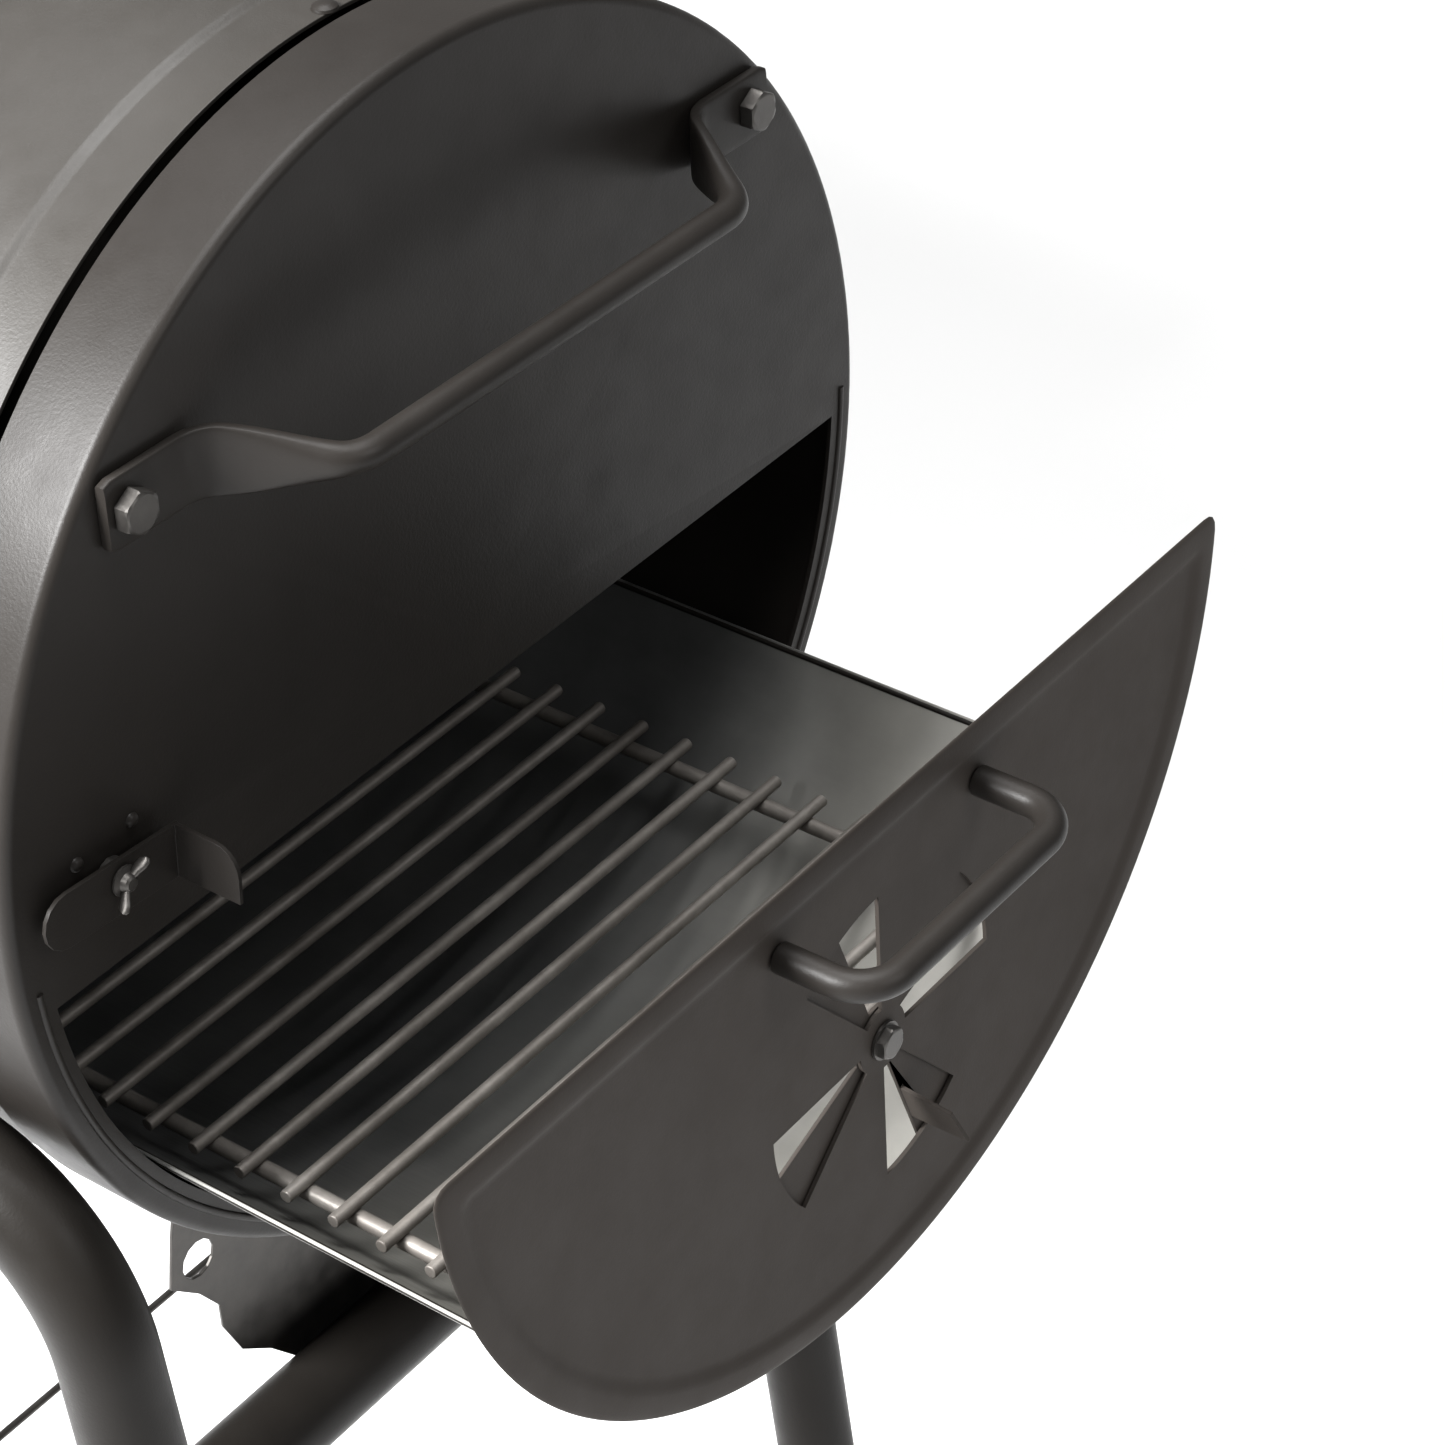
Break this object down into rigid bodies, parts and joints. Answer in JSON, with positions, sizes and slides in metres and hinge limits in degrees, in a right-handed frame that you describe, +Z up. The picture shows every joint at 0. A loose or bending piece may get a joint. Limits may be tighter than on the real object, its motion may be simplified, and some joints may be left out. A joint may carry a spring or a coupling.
{
  "type": "offset smoker",
  "caption": "Offset charcoal smoker: a cook chamber barrel with a lower firebox barrel, a pull-out ash drawer with a damper, and a wheeled tube frame.",
  "frame": {"origin": "middle of the bounding box at ground level", "axes": "+X along both barrels towards the ash drawer's handle, +Y towards the hinge side, +Z up; the ash drawer is out in the rest pose"},
  "size_m": [1.4378, 0.5636, 1.2418],
  "materials": {
    "powder_coat": "satin, fine texture",
    "drawer_coat": "satin, fine texture",
    "dark_zinc": "dark plated",
    "tray_steel": "bare, smoke-darkened",
    "worn_steel": "bare, worn",
    "rubber": "matte",
    "wheel_plastic": "matte",
    "dial_steel": "brushed"
  },
  "bodies": {
    "smoker": {"firebox_end_cap": "powder_coat", "firebox_inner_cap": "powder_coat", "firebox_shell": "powder_coat", "chamber_near_cap": "powder_coat", "chamber_far_cap": "powder_coat", "chamber_shell": "powder_coat", "chimney_pipe": "powder_coat", "chimney_collar": "powder_coat", "chimney_cap_pin": "dark_zinc", "near_cooking_grate": "worn_steel", "far_cooking_grate": "worn_steel", "front_drawer_runner": "dark_zinc", "rear_drawer_runner": "dark_zinc", "carry_handle": "powder_coat", "carry_handle_front_bolt": "dark_zinc", "carry_handle_rear_bolt": "dark_zinc", "latch_screw": "dark_zinc", "latch_spacer": "dark_zinc", "front_side_tube": "powder_coat", "rear_side_tube": "powder_coat", "front_foot": "rubber", "rear_foot": "rubber", "front_lower_rail": "powder_coat", "rear_lower_rail": "powder_coat", "firebox_cross_strut": "powder_coat", "chimney_cross_strut": "powder_coat", "firebox_support_bracket": "dark_zinc", "near_saddle": "dark_zinc", "far_saddle": "dark_zinc", "wire_rack": "dark_zinc", "axle": "dark_zinc", "firebox_near_hinge_fixed_leaf": "dark_zinc", "firebox_near_hinge_pin": "dark_zinc", "firebox_far_hinge_fixed_leaf": "dark_zinc", "firebox_far_hinge_pin": "dark_zinc", "chamber_near_hinge_fixed_leaf": "dark_zinc", "chamber_near_hinge_pin": "dark_zinc", "chamber_far_hinge_fixed_leaf": "dark_zinc", "chamber_far_hinge_pin": "dark_zinc"},
    "firebox_lid": {"firebox_lid": "powder_coat", "firebox_lid_handle": "powder_coat", "firebox_near_hinge_lid_leaf": "dark_zinc", "firebox_far_hinge_lid_leaf": "dark_zinc"},
    "chamber_lid": {"chamber_lid": "powder_coat", "chamber_lid_handle": "powder_coat", "thermometer": "dial_steel", "chamber_near_hinge_lid_leaf": "dark_zinc", "chamber_far_hinge_lid_leaf": "dark_zinc"},
    "ash_drawer": {"drawer_front": "drawer_coat", "drawer_tray": "tray_steel", "drawer_handle": "powder_coat", "fire_grate": "worn_steel", "damper_bolt": "dark_zinc"},
    "damper": {"damper_disc": "drawer_coat"},
    "latch": {"drawer_latch": "powder_coat"},
    "chimney_cap": {"chimney_cap": "powder_coat"},
    "front_wheel": {"front_wheel": "wheel_plastic"},
    "rear_wheel": {"rear_wheel": "wheel_plastic"}
  },
  "joints": [
    {"name": "firebox_lid_hinge", "type": "hinge", "parent": "smoker", "child": "firebox_lid", "pos_m": [0.30684, 0.17315, 0.7821], "axis": [1, 0, 0], "range_deg": [-100, 0]},
    {"name": "chamber_lid_hinge", "type": "hinge", "parent": "smoker", "child": "chamber_lid", "pos_m": [-0.25856, 0.18088, 0.97345], "axis": [1, 0, 0], "range_deg": [-100, 0]},
    {"name": "ash_drawer_slide", "type": "slide", "parent": "smoker", "child": "ash_drawer", "axis": [1, 0, 0], "range_m": [-0.1538, 0.2]},
    {"name": "damper_spin", "type": "hinge", "parent": "ash_drawer", "child": "damper", "pos_m": [0.67564, 0.009, 0.5345], "axis": [1, 0, 0], "range_deg": [-16, 17]},
    {"name": "latch_swing", "type": "hinge", "parent": "smoker", "child": "latch", "pos_m": [0.52444, -0.172, 0.6535], "axis": [1, 0, 0], "range_deg": [-90, 30]},
    {"name": "chimney_cap_swing", "type": "hinge", "parent": "smoker", "child": "chimney_cap", "pos_m": [-0.67896, 0.0464, 1.2354], "axis": [0, 0, 1], "range_deg": [0, 120]},
    {"name": "front_wheel_spin", "type": "hinge", "parent": "smoker", "child": "front_wheel", "pos_m": [-0.60859, -0.2554, 0.09], "axis": [0, 1, 0], "continuous": true},
    {"name": "rear_wheel_spin", "type": "hinge", "parent": "smoker", "child": "rear_wheel", "pos_m": [-0.60859, 0.2554, 0.09], "axis": [0, 1, 0], "continuous": true}
  ]
}
